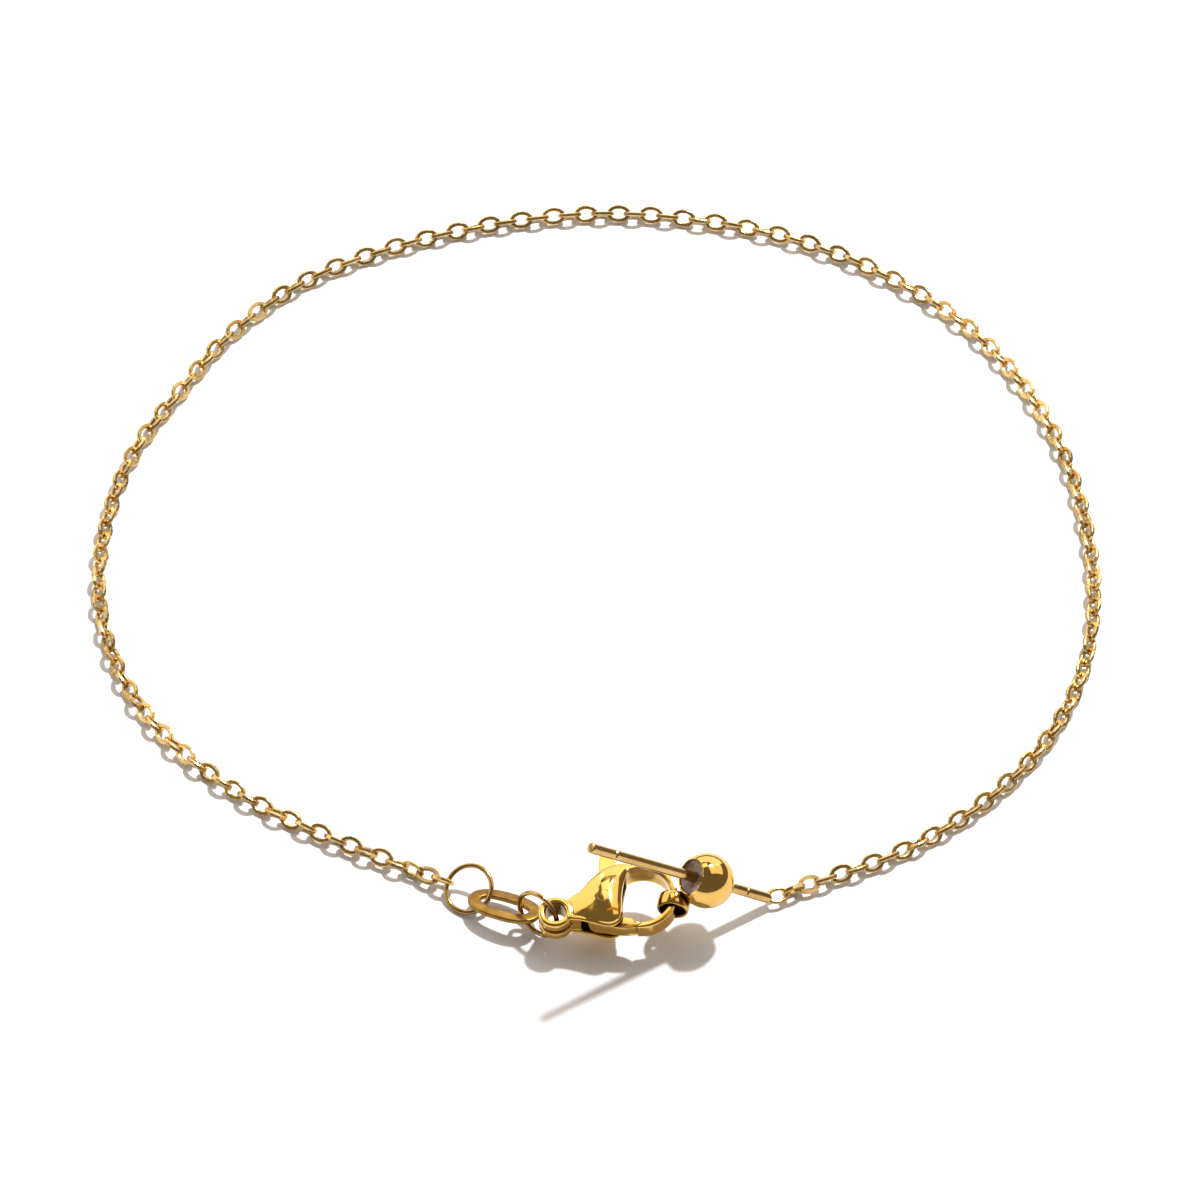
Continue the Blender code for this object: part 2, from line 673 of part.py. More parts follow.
ring_radius = (RING_DIAMETER - RING_WIRE) / 2
clasp_ring_turn = frame((0, 0, 0), CLASP_RING_AZIMUTH, CLASP_RING_ELEVATION, CLASP_RING_ROLL)
eye_middle = in_frame(clasp_place, *(Vector(EYE_CENTRE) * HOOK_RADIUS + Vector(CLASP_RING_IN_EYE)))
ring_at_eye = in_frame(clasp_ring_turn, *on_circle(ring_radius, CLASP_RING_EYE_ANGLE))
clasp_ring_place = Matrix.Translation((eye_middle - ring_at_eye) * MM) @ clasp_ring_turn
add_part("clasp_ring", ring_mesh("clasp_ring", CLASP_RING_SEAM_ANGLE), clasp_ring_place, FINISHES["ring"])

tag_turn = frame((0, 0, 0), TAG_AZIMUTH, TAG_ELEVATION, TAG_ROLL)
ring_at_tag = in_frame(clasp_ring_place, *on_circle(ring_radius, CLASP_RING_TAG_ANGLE))
slot_half = TAG_LENGTH / 2 - TAG_BORDER
tag_place = Matrix.Translation((ring_at_tag - in_frame(tag_turn, slot_half - CLASP_RING_IN_SLOT, 0.0)) * MM) @ tag_turn
make_tag(tag_place)

end_ring_turn = frame((0, 0, 0), END_RING_AZIMUTH, END_RING_ELEVATION, END_RING_ROLL)
slot_left = in_frame(tag_place, END_RING_IN_SLOT - slot_half, 0.0)
end_ring_place = Matrix.Translation((slot_left - in_frame(end_ring_turn, ring_radius, 0.0)) * MM) @ end_ring_turn
add_part("end_ring", ring_mesh("end_ring", END_RING_SEAM_ANGLE), end_ring_place, FINISHES["ring"])

# The chain's last links pass through the end ring and through the pin's loop
link_reach = LINK_LENGTH / 2 - LINK_WIRE - LINK_SLACK - RING_WIRE / 2
ring_out = end_ring_turn.to_3x3() @ Vector((*on_circle(1.0, END_RING_LINK_ANGLE), 0.0))
left_middle = in_frame(end_ring_place, *on_circle(ring_radius, END_RING_LINK_ANGLE)) + ring_out * link_reach
left_link = axes_frame(left_middle, -ring_out, ring_out.cross(along(end_ring_place, 2)))

first_run = (loop_points()[0] - in_frame(loop_place, 0.0, 0.0)).normalized()
right_middle = in_frame(loop_place, 0.0, 0.0) + first_run * link_pitch()
right_link = axes_frame(right_middle, first_run, first_run.cross(along(loop_place, 2)))
make_chain(right_link, left_link)
bpy.context.view_layer.update()
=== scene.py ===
import math

import bmesh
import bpy
from mathutils import Matrix, Vector
from mathutils.bvhtree import BVHTree


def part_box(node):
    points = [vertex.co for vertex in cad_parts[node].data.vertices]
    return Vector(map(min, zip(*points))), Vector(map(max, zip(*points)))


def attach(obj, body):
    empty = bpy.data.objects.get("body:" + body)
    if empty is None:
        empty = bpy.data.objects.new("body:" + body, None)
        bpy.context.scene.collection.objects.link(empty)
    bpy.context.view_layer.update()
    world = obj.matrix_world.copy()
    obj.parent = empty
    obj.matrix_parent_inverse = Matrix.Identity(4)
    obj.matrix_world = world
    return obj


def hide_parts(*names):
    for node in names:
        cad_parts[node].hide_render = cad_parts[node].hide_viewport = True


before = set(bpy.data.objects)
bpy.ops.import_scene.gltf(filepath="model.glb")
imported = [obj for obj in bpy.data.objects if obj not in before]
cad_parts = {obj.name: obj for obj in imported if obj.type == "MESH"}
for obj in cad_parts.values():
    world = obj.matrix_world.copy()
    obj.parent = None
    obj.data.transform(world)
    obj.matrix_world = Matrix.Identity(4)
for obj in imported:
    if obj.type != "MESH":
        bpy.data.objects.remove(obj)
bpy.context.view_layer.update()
mm = 0.001
upAxis = Vector((0, 0, 1))


# Places

def placeAt(origin, azimuth, elevation, roll):
    # X axis along the two angles, then rolled about itself
    turn = Matrix.Rotation(math.radians(azimuth), 4, "Z")
    turn @= Matrix.Rotation(math.radians(-elevation), 4, "Y")
    turn @= Matrix.Rotation(math.radians(roll), 4, "X")
    return Matrix.Translation(Vector(origin)) @ turn


def pointIn(place, x, y, z=0.0):
    return place @ Vector((x, y, z))


def axisOf(place, index):
    return place.to_3x3().col[index].normalized()


def onCircle(radius, degrees):
    return radius * math.cos(math.radians(degrees)), radius * math.sin(math.radians(degrees))


def ovalOutline(halfLength, halfWidth, power, count):
    points = []
    for k in range(count):
        c = math.cos(math.tau * k / count)
        s = math.sin(math.tau * k / count)
        x = math.copysign(abs(c) ** (2 / power), c) * halfLength
        y = math.copysign(abs(s) ** (2 / power), s) * halfWidth
        points.append((x, y))
    return points


def placeAlong(origin, xAxis, zHint):
    xAxis = xAxis.normalized()
    yAxis = zHint.cross(xAxis).normalized()
    turn = Matrix((xAxis, yAxis, xAxis.cross(yAxis))).transposed().to_4x4()
    return Matrix.Translation(Vector(origin)) @ turn


# Shapes

def linkObject(name, data):
    made = bpy.data.objects.new(name, data)
    bpy.context.scene.collection.objects.link(made)
    return made


def bakedMesh(made):
    # the evaluated mesh of an object, which is then removed
    bpy.context.view_layer.update()
    graph = bpy.context.evaluated_depsgraph_get()
    mesh = bpy.data.meshes.new_from_object(made.evaluated_get(graph))
    bpy.data.objects.remove(made, do_unlink=True)
    return mesh


def cleaned(mesh, place=None, distance=0.0005):
    work = bmesh.new()
    work.from_mesh(mesh)
    bmesh.ops.remove_doubles(work, verts=work.verts, dist=distance)
    bmesh.ops.recalc_face_normals(work, faces=work.faces)
    if place is not None:
        bmesh.ops.transform(work, matrix=place, verts=work.verts)
    work.to_mesh(mesh)
    work.free()
    return mesh


def turnedMesh(name, profile, steps):
    # (radius, height) points turned about Z
    mesh = bpy.data.meshes.new(name)
    edges = [(k, k + 1) for k in range(len(profile) - 1)]
    if profile[0][0] > 0 and profile[-1][0] > 0:
        edges.append((len(profile) - 1, 0))
    mesh.from_pydata([(radius, 0.0, height) for radius, height in profile], edges, [])
    turned = linkObject(name, mesh)
    screw = turned.modifiers.new("turn", "SCREW")
    screw.steps = steps
    screw.render_steps = steps
    screw.use_merge_vertices = True
    screw.merge_threshold = 0.0001
    return cleaned(bakedMesh(turned))


def wireMesh(name, points, diameter, closed, roundness=6):
    curve = bpy.data.curves.new(name, "CURVE")
    curve.dimensions = "3D"
    curve.bevel_depth = diameter / 2
    curve.bevel_resolution = roundness
    curve.use_fill_caps = not closed
    spline = curve.splines.new("POLY")
    spline.points.add(len(points) - 1)
    for slot, point in zip(spline.points, points):
        slot.co = (*point, 1.0)
    spline.use_cyclic_u = closed
    return cleaned(bakedMesh(linkObject(name, curve)))


def plateMesh(name, outlines, thickness, edge):
    # flat plate with rounded edges; outlines after the first are holes
    curve = bpy.data.curves.new(name, "CURVE")
    curve.dimensions = "2D"
    curve.fill_mode = "BOTH"
    curve.extrude = thickness / 2 - edge
    curve.bevel_depth = edge
    curve.bevel_resolution = 3
    curve.offset = -edge
    for outline in outlines:
        spline = curve.splines.new("POLY")
        spline.points.add(len(outline) - 1)
        for slot, point in zip(spline.points, outline):
            slot.co = (point[0], point[1], 0.0, 1.0)
        spline.use_cyclic_u = True
    return cleaned(bakedMesh(linkObject(name, curve)))


def skinMesh(name, rings):
    # closed skin over rings with the same number of points
    work = bmesh.new()
    rows = [[work.verts.new(point) for point in ring] for ring in rings]
    for lower, upper in zip(rows, rows[1:]):
        for k in range(len(lower)):
            after = (k + 1) % len(lower)
            work.faces.new((lower[k], lower[after], upper[after], upper[k]))
    work.faces.new(rows[0])
    work.faces.new(rows[-1])
    bmesh.ops.recalc_face_normals(work, faces=work.faces)
    mesh = bpy.data.meshes.new(name)
    work.to_mesh(mesh)
    work.free()
    return mesh


def smoothPath(points, steps, closed):
    count = len(points)
    path = []
    for span in range(count if closed else count - 1):
        if closed:
            a, b, c, d = (points[(span + k - 1) % count] for k in range(4))
        else:
            b, c = points[span], points[span + 1]
            a = points[span - 1] if span else b * 2 - c
            d = points[span + 2] if span + 2 < count else c * 2 - b
        for step in range(steps):
            t = step / steps
            path.append(
                b + (c - a) * (0.5 * t)
                + (a * 2 - b * 5 + c * 4 - d) * (0.5 * t * t)
                + (b * 3 - a - c * 3 + d) * (0.5 * t * t * t)
            )
    if not closed:
        path.append(points[-1].copy())
    return path


def combined(name, base, steps):
    # EXACT Boolean steps, each (mesh, operation), on a base mesh
    body = linkObject(name, base)
    helpers = []
    for index, (mesh, operation) in enumerate(steps):
        helper = linkObject(f"{name} step {index}", mesh)
        helpers.append(helper)
        step = body.modifiers.new(f"step {index}", "BOOLEAN")
        step.object = helper
        step.operation = operation
        step.solver = "EXACT"
    mesh = bakedMesh(body)
    for helper in helpers:
        bpy.data.objects.remove(helper, do_unlink=True)
    return mesh


def castSurface(mesh, voxel, rounds):
    # fuses a mesh into one skin with softly rounded edges, as casting and polishing leave it
    cast = linkObject("cast", mesh)
    remesh = cast.modifiers.new("remesh", "REMESH")
    remesh.mode = "VOXEL"
    remesh.voxel_size = voxel
    soften = cast.modifiers.new("soften", "SMOOTH")
    soften.factor = 0.5
    soften.iterations = rounds
    return bakedMesh(cast)


def finishedPiece(name, mesh, place, material, node, body="bracelet", sharp=None):
    mesh.transform(Matrix.Scale(mm, 4) @ place)
    mesh.name = name
    mesh.materials.clear()
    mesh.materials.append(material)
    mesh.shade_smooth()
    if sharp is not None:
        mesh.set_sharp_from_angle(angle=math.radians(sharp))
    piece = linkObject(name, mesh)
    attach(piece, body)
    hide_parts(node)
    low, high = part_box(node)
    corners = [vertex.co for vertex in mesh.vertices]
    miss = 0.0
    for k in range(3):
        along = [corner[k] for corner in corners]
        miss = max(miss, abs(min(along) - low[k]), abs(max(along) - high[k]))
    print(f"{name}: {len(mesh.polygons)} faces, within {miss / mm:.2f} mm of {node}")
    return piece


def markPaintedShade(pieces, reach, rays):
    # stores for each vertex the share of its outlook that the pieces close in, as the attribute "recess"; the
    # gold finishes turn it into painted shade, darker where the metal is more closed in
    work = bmesh.new()
    for piece in pieces:
        work.from_mesh(piece.data)
    walls = BVHTree.FromBMesh(work)
    work.free()
    spread = []
    for k in range(rays):  # even directions over a sphere, a golden angle apart
        height = 1 - (2 * k + 1) / rays
        turn = k * math.pi * (3 - math.sqrt(5))
        level = Vector((math.cos(turn), math.sin(turn), 0)) * math.sqrt(1 - height ** 2)
        spread.append(level + upAxis * height)
    lift = 0.02 * mm  # rays start this far off the metal
    for piece in pieces:
        mesh = piece.data
        closed = []
        for vertex in mesh.vertices:
            outward = vertex.normal
            start = vertex.co + outward * lift
            hits = sum(walls.ray_cast(start, outward + aside, reach * mm)[0] is not None for aside in spread)
            closed.append(hits / rays)
        mesh.attributes.new("recess", "FLOAT", "POINT").data.foreach_set("value", closed)


# Finishes

def addNode(tree, kind, settings=None, **inputs):
    node = tree.nodes.new(kind)
    for key, value in (settings or {}).items():
        setattr(node, key, value)
    for key, value in inputs.items():
        socket = node.inputs[key.replace("_", " ")]
        if isinstance(value, bpy.types.NodeSocket):
            tree.links.new(value, socket)
        else:
            socket.default_value = value
    return node


def goldFinish(name, look):
    # plated gold: tint drifts between two shades, polish varies, and fine lines and ripples bump it;
    # a tone attribute, where the look names one, makes the metal darker or lighter: a random tone for each
    # link, or painted shade in recesses
    material = bpy.data.materials.new(name)
    material.use_nodes = True
    tree = material.node_tree
    shader = tree.nodes["Principled BSDF"]
    shader.inputs["Metallic"].default_value = 1.0
    place = addNode(tree, "ShaderNodeTexCoord")
    drift = addNode(
        tree, "ShaderNodeTexNoise", Vector=place.outputs["Object"], Scale=look["driftScale"], Detail=3.0,
    )
    shade = addNode(tree, "ShaderNodeValToRGB", Fac=drift.outputs["Fac"])
    shade.color_ramp.elements[0].position = 0.35
    shade.color_ramp.elements[0].color = (*look["deepTint"], 1.0)
    shade.color_ramp.elements[1].position = 0.65
    shade.color_ramp.elements[1].color = (*look["tint"], 1.0)
    colour = shade.outputs["Color"]
    if "toneAttribute" in look:
        tone = addNode(tree, "ShaderNodeAttribute", {"attribute_name": look["toneAttribute"]})
        low, high, start, end = look["toneSpread"]
        spread = addNode(
            tree, "ShaderNodeMapRange", Value=tone.outputs["Fac"],
            From_Min=low, From_Max=high, To_Min=start, To_Max=end,
        )
        tinted = addNode(tree, "ShaderNodeHueSaturation", Color=colour, Value=spread.outputs["Result"])
        colour = tinted.outputs["Color"]
    tree.links.new(colour, shader.inputs["Base Color"])

    turned = addNode(tree, "ShaderNodeMapping", {"vector_type": "TEXTURE"}, Vector=place.outputs["Object"])
    turned.inputs["Rotation"].default_value = look.get("lineTurn", (0.0, 0.0, 0.0))
    turned.inputs["Scale"].default_value = [size * mm for size in look["lineSize"]]
    lines = addNode(
        tree, "ShaderNodeTexNoise", Vector=turned.outputs["Vector"], Scale=1.0, Detail=4.0, Roughness=0.6,
    )
    polish = addNode(
        tree, "ShaderNodeMapRange", Value=lines.outputs["Fac"],
        From_Min=0.3, From_Max=0.7, To_Min=look["polish"][0], To_Max=look["polish"][1],
    )
    tree.links.new(polish.outputs["Result"], shader.inputs["Roughness"])
    ripple = addNode(
        tree, "ShaderNodeTexNoise", Vector=place.outputs["Object"], Scale=look["rippleScale"], Detail=1.0,
    )
    ripples = addNode(
        tree, "ShaderNodeBump", Height=ripple.outputs["Fac"],
        Strength=look["ripple"], Distance=look["rippleDepth"],
    )
    bump = addNode(
        tree, "ShaderNodeBump", Height=lines.outputs["Fac"],
        Strength=look["line"], Distance=look["lineDepth"], Normal=ripples.outputs["Normal"],
    )
    tree.links.new(bump.outputs["Normal"], shader.inputs["Normal"])
    return material


brightGold = {
    "tint": (0.84, 0.545, 0.15), "deepTint": (0.76, 0.465, 0.10), "driftScale": 420.0,
    "lineSize": (0.4, 0.2, 0.3), "polish": (0.06, 0.15),
    "line": 0.12, "lineDepth": 0.00002, "rippleScale": 700.0, "ripple": 0.2, "rippleDepth": 0.00005,
}
# painted shade: the metal is darker where its recess attribute is high, where other metal closes in around it
paintedRecessShade = {"toneAttribute": "recess", "toneSpread": (0.15, 0.7, 1.0, 0.2)}
claspFinish = goldFinish("polished clasp gold", {**brightGold, **paintedRecessShade})
ballFinish = goldFinish("mirror ball gold", {
    **brightGold, **paintedRecessShade, "tint": (0.80, 0.50, 0.14), "deepTint": (0.70, 0.42, 0.10),
    "polish": (0.05, 0.11), "ripple": 0.12, "line": 0.06,
})
wireFinish = goldFinish("drawn ring gold", {
    **brightGold, "tint": (0.56, 0.36, 0.13), "deepTint": (0.38, 0.24, 0.08),
    "polish": (0.12, 0.24), "line": 0.2,
})
chainFinish = goldFinish("faceted link gold", {
    **brightGold, "tint": (0.78, 0.55, 0.23), "deepTint": (0.58, 0.39, 0.14), "driftScale": 900.0,
    "polish": (0.18, 0.34), "line": 0.15, "toneAttribute": "linkTone", "toneSpread": (0.0, 1.0, 0.82, 1.12),
})
pinFinish = goldFinish("drawn pin gold", {
    **brightGold, "tint": (0.68, 0.45, 0.17), "deepTint": (0.52, 0.33, 0.11),
    "lineTurn": (0.0, math.radians(-38.5), math.radians(-161.5)), "lineSize": (9.0, 0.09, 0.09),
    "polish": (0.12, 0.22), "line": 0.3, "ripple": 0.05,
})
tagFinish = goldFinish("matt tag gold", {
    **brightGold, "tint": (0.34, 0.195, 0.045), "deepTint": (0.22, 0.12, 0.025), "driftScale": 1300.0,
    "lineSize": (0.12, 0.14, 0.12), "polish": (0.3, 0.42), "line": 0.3, "lineDepth": 0.00002,
    "rippleScale": 1500.0, "ripple": 0.25,
})


def siliconeFinish(look):
    material = bpy.data.materials.new("cloudy silicone")
    material.use_nodes = True
    tree = material.node_tree
    shader = tree.nodes["Principled BSDF"]
    shader.inputs["Roughness"].default_value = look["roughness"]
    shader.inputs["Transmission Weight"].default_value = look["clarity"]
    shader.inputs["IOR"].default_value = look["ior"]
    place = addNode(tree, "ShaderNodeTexCoord")
    cloud = addNode(
        tree, "ShaderNodeTexNoise", Vector=place.outputs["Object"], Scale=look["cloudScale"], Detail=4.0,
    )
    shade = addNode(tree, "ShaderNodeValToRGB", Fac=cloud.outputs["Fac"])
    shade.color_ramp.elements[0].color = (*look["dark"], 1.0)
    shade.color_ramp.elements[1].color = (*look["pale"], 1.0)
    tree.links.new(shade.outputs["Color"], shader.inputs["Base Color"])
    bump = addNode(
        tree, "ShaderNodeBump", Height=cloud.outputs["Fac"],
        Strength=look["ripple"], Distance=look["rippleDepth"],
    )
    tree.links.new(bump.outputs["Normal"], shader.inputs["Normal"])
    return material


insertFinish = siliconeFinish({
    "dark": (0.24, 0.16, 0.10), "pale": (0.50, 0.38, 0.26), "cloudScale": 700.0, "roughness": 0.16,
    "clarity": 0.6, "ior": 1.41, "ripple": 0.3, "rippleDepth": 0.00004,
})
print("finishes made")


# Floor, camera and light

view = {"height": 48.4, "distance": 560.0, "target": (0.25, -2.25, 0.0), "lens": 268.8, "sensor": 36.0}


def setCamera():
    camera = linkObject("photoCamera", bpy.data.cameras.new("photoCamera"))
    camera.data.lens = view["lens"]
    camera.data.sensor_width = view["sensor"]
    camera.data.clip_start = 0.01
    rise = math.radians(view["height"])
    back = Vector((0.0, -math.cos(rise), math.sin(rise)))
    camera.location = (Vector(view["target"]) + back * view["distance"]) * mm
    camera.rotation_euler = back.to_track_quat("Z", "Y").to_euler()
    bpy.context.scene.camera = camera


studio = {
    "floorSize": 4000.0, "floorColour": (0.80, 0.80, 0.80), "floorRoughness": 0.75,
    "worldColour": (1.0, 0.88, 0.80), "worldStrength": 0.19,
    # each light: direction, distance, width, height, power and colour
    "key": ((0.31, 0.50, 1.0), 700.0, 45.0, 45.0, 5.8, (0.97, 0.99, 1.02)),
    "back": ((0.14, 0.86, 0.5), 600.0, 760.0, 420.0, 1.45, (1.0, 0.92, 0.86)),
    "right": ((0.57, 0.24, 0.79), 550.0, 400.0, 520.0, 0.78, (1.0, 0.92, 0.86)),
    "overhead": ((-0.12, 0.42, 0.9), 600.0, 210.0, 210.0, 0.24, (1.0, 0.94, 0.88)),
    "left": ((-0.8, 0.42, 0.55), 600.0, 800.0, 460.0, 1.65, (1.0, 0.92, 0.86)),
}


def addLight(name, direction, distance, width, height, power, colour):
    lamp = bpy.data.lights.new(name, "AREA")
    lamp.shape = "RECTANGLE"
    lamp.size = width * mm
    lamp.size_y = height * mm
    lamp.energy = power
    lamp.color = colour
    light = linkObject(name, lamp)
    towards = Vector(direction).normalized()
    light.location = towards * distance * mm
    light.rotation_euler = towards.to_track_quat("Z", "Y").to_euler()


def setStudio():
    half = studio["floorSize"] / 2 * mm
    sheet = bpy.data.meshes.new("paleFloor")
    corners = [(-half, -half, 0), (half, -half, 0), (half, half, 0), (-half, half, 0)]
    sheet.from_pydata(corners, [], [(0, 1, 2, 3)])
    floor = linkObject("paleFloor", sheet)
    paper = bpy.data.materials.new("pale paper")
    paper.use_nodes = True
    shader = paper.node_tree.nodes["Principled BSDF"]
    shader.inputs["Base Color"].default_value = (*studio["floorColour"], 1.0)
    shader.inputs["Roughness"].default_value = studio["floorRoughness"]
    sheet.materials.append(paper)

    world = bpy.data.worlds.new("studio room")
    bpy.context.scene.world = world
    world.use_nodes = True
    sky = world.node_tree.nodes["Background"]
    sky.inputs["Color"].default_value = (*studio["worldColour"], 1.0)
    sky.inputs["Strength"].default_value = studio["worldStrength"]
    for name in ("key", "back", "right", "overhead", "left"):
        addLight(f"{name}Light", *studio[name])
    bpy.context.scene.view_settings.view_transform = "Standard"


setCamera()
setStudio()
print("camera and studio set")


# Threading pin, with its loop soldered on

pin = {
    "foot": (10.43, -26.98, 0.65), "length": 14.5, "diameter": 0.65, "azimuth": -161.5, "elevation": 38.5,
    "tipBevel": 0.08, "grooveFromEnd": 1.9, "grooveWidth": 0.16, "grooveDepth": 0.05,
    "loopAzimuth": 20.5, "loopElevation": -3.0, "loopRoll": 20.0, "loopWire": 0.25,
    "solderOverlap": 0.12, "solderBead": 0.36, "beadShift": 0.12,
}
link = {"length": 1.54, "width": 1.06, "wire": 0.22, "slack": 0.04}
pinFoot = Vector(pin["foot"])
pinPlace = placeAt(pinFoot, pin["azimuth"], pin["elevation"], 0.0)
lieDown = Matrix.Rotation(math.radians(90), 4, "Y")  # a turned shape's Z axis becomes X


def linkPoints(place, steps):
    halfLength = (link["length"] - link["wire"]) / 2
    halfWidth = (link["width"] - link["wire"]) / 2
    angles = [math.tau * k / steps for k in range(steps)]
    return [pointIn(place, halfLength * math.cos(a), halfWidth * math.sin(a)) for a in angles]


loopTurn = placeAt(pinFoot, pin["loopAzimuth"], pin["loopElevation"], pin["loopRoll"])
loopMiddle = pointIn(loopTurn, link["length"] / 2 - pin["solderOverlap"], 0.0)
loopPlace = Matrix.Translation(loopMiddle - pinFoot) @ loopTurn


def makePin():
    radius = pin["diameter"] / 2
    bevel = pin["tipBevel"]
    length = pin["length"]
    profile = [(0.0, length), (radius - bevel, length)]
    profile += [
        (radius - bevel + bevel * math.sin(a), length - bevel + bevel * math.cos(a))
        for a in (math.radians(22.5 * k) for k in range(1, 5))
    ]
    profile.append((radius, length - 2 * bevel))
    for middle in (length - pin["grooveFromEnd"], pin["grooveFromEnd"]):
        for k in range(-6, 7):  # a round-bottomed turned line, with a little of the plain pin beside it
            depth = pin["grooveDepth"] * (0.5 + 0.5 * math.cos(math.pi * min(abs(k), 4) / 4))
            profile.append((radius - depth, middle + pin["grooveWidth"] / 2 * -k / 4))
    profile += [(radius, bevel), (radius, bevel / 2), (radius - bevel / 2, 0.0), (0.0, 0.0)]
    shaft = cleaned(turnedMesh("shaft", profile, 64), pinPlace @ lieDown)
    loop = wireMesh("loop", linkPoints(loopPlace, 64), pin["loopWire"], True)
    blob = pin["solderBead"] / 2
    arc = [math.pi * k / 16 for k in range(17)]
    bead = turnedMesh("bead", [(blob * math.sin(a), blob * math.cos(a)) for a in arc], 32)
    bead.transform(Matrix.Translation(pinFoot.lerp(loopMiddle, pin["beadShift"])))
    mesh = combined("turned pin", shaft, [(loop, "UNION"), (bead, "UNION")])
    finishedPiece("turnedPin", mesh, Matrix(), pinFinish, "threading_pin", sharp=30)


makePin()


# Stopper ball, its bail and the silicone in its hole

ball = {
    "diameter": 3.4, "onPin": 5.05, "hole": 2.1, "rimBevel": 0.06, "insertRecess": 0.18, "insertDish": 0.12,
    "bailAzimuth": -159.4, "bailElevation": -31.4, "bailWidth": 2.0, "bailHole": 1.44, "bailLength": 0.95,
    "bailSolder": 0.2, "bailRound": 2.3, "snugGap": 0.03,
}
clasp = {
    "azimuth": 10.0, "elevation": 4.0, "roll": 8.0,
    "hookRadius": 2.0, "hookWall": 0.42, "hookCorner": 0.09, "tipDepth": 1.2, "rootDepth": 1.65,
    "rootAngle": 112.0, "bailAngle": -19.0, "bailOff": 0.04,
    "eyeCentre": (-2.635, -0.07), "eyeDiameter": 2.12, "eyeHole": 1.26, "eyeDepth": 1.6, "eyeGroove": 0.3,
    "bodyDepth": 2.8, "bodyMiddle": (-1.1, 0.08), "lip": 0.26, "lipSpan": (0, 6),
    "rivet": (-1.135, 0.03), "rivetDiameter": 0.7, "rivetGap": 0.012,
    "leverDepth": 1.0, "slotGap": 0.11, "leverTipGap": 0.06, "leverEdge": 0.05, "seamAngle": -103.0,
    "voxel": 0.045, "softening": 3, "recessReach": 4.0, "recessRays": 24,
}
ballMiddle = pointIn(pinPlace, ball["onPin"], 0.0)
ballPlace = placeAt(ballMiddle, pin["azimuth"], pin["elevation"], 0.0)
bailReach = ball["diameter"] / 2 + ball["bailWidth"] / 2 - ball["bailSolder"]
bailMiddle = pointIn(placeAt(ballMiddle, ball["bailAzimuth"], ball["bailElevation"], 0.0), bailReach, 0.0)
claspTurn = placeAt((0, 0, 0), clasp["azimuth"], clasp["elevation"], clasp["roll"])
hookAtBail = pointIn(claspTurn, *onCircle(clasp["hookRadius"] - clasp["bailOff"], clasp["bailAngle"]))
claspPlace = Matrix.Translation(bailMiddle - hookAtBail) @ claspTurn
hookRun = claspTurn.to_3x3() @ Vector((*onCircle(1.0, clasp["bailAngle"] + 90), 0.0))
bailPlace = Matrix.Translation(bailMiddle) @ hookRun.to_track_quat("Z", "Y").to_matrix().to_4x4()


def makeBall():
    radius = ball["diameter"] / 2
    bore = ball["hole"] / 2
    bevel = ball["rimBevel"]
    rim = math.asin((bore + bevel) / radius)
    arc = 72
    angles = [rim + (math.pi - 2 * rim) * k / arc for k in range(arc + 1)]
    profile = [(radius * math.sin(a), radius * math.cos(a)) for a in angles]
    boreEnd = radius * math.cos(rim) - bevel / 2
    profile += [(bore + bevel * 0.3, -boreEnd - bevel * 0.3), (bore, -boreEnd + bevel * 0.5)]
    profile += [(bore, boreEnd - bevel * 0.5), (bore + bevel * 0.3, boreEnd + bevel * 0.3)]
    sphere = cleaned(turnedMesh("sphere", profile, 128), ballPlace @ lieDown)
    outer = ball["bailWidth"] / 2
    inner = ball["bailHole"] / 2
    half = ball["bailLength"] / 2
    # the bail bulges like a barrel
    section = ovalOutline((outer - inner) / 2, half, ball["bailRound"], 40)
    wall = [((outer + inner) / 2 + x, z) for x, z in section]
    tube = cleaned(turnedMesh("bail", wall, 72), bailPlace)
    mesh = combined("bored ball", sphere, [(tube, "UNION")])
    return finishedPiece("boredBall", mesh, Matrix(), ballFinish, "stopper_ball", sharp=35)


def makeInsert():
    outer = ball["hole"] / 2 - ball["snugGap"]
    inner = pin["diameter"] / 2 + ball["snugGap"]
    half = math.sqrt((ball["diameter"] / 2) ** 2 - (ball["hole"] / 2) ** 2) - ball["insertRecess"]
    rows = 10
    top = []
    for k in range(rows + 1):  # the dished end, from the pin out to the bore
        share = k / rows
        lift = ball["insertDish"] * (1 - share ** 2)
        top.append((inner + (outer - inner) * share, half - lift))
    profile = top + [(radius, -height) for radius, height in reversed(top)]
    mesh = cleaned(turnedMesh("sleeve", profile, 64), ballPlace @ lieDown)
    finishedPiece(
        "siliconeSleeve", mesh, Matrix(), insertFinish, "silicone_insert", sharp=50,
    )


boredBall = makeBall()
makeInsert()


# Lobster clasp: outlines are shares of the hook's radius, drawn round the hook's middle

bodyOutline = [
    (-2.25, -0.31), (-1.95, -0.46), (-1.6, -0.63), (-1.27, -0.81), (-1.03, -0.86), (-0.81, -0.76),
    (-0.69, -0.5), (-0.61, -0.11), (-0.51, 0.27), (-0.37, 0.65), (-0.18, 1.07), (-0.32, 1.17),
    (-0.65, 1.12), (-1.05, 1.0), (-1.45, 0.75), (-1.8, 0.47), (-2.25, 0.27),
]
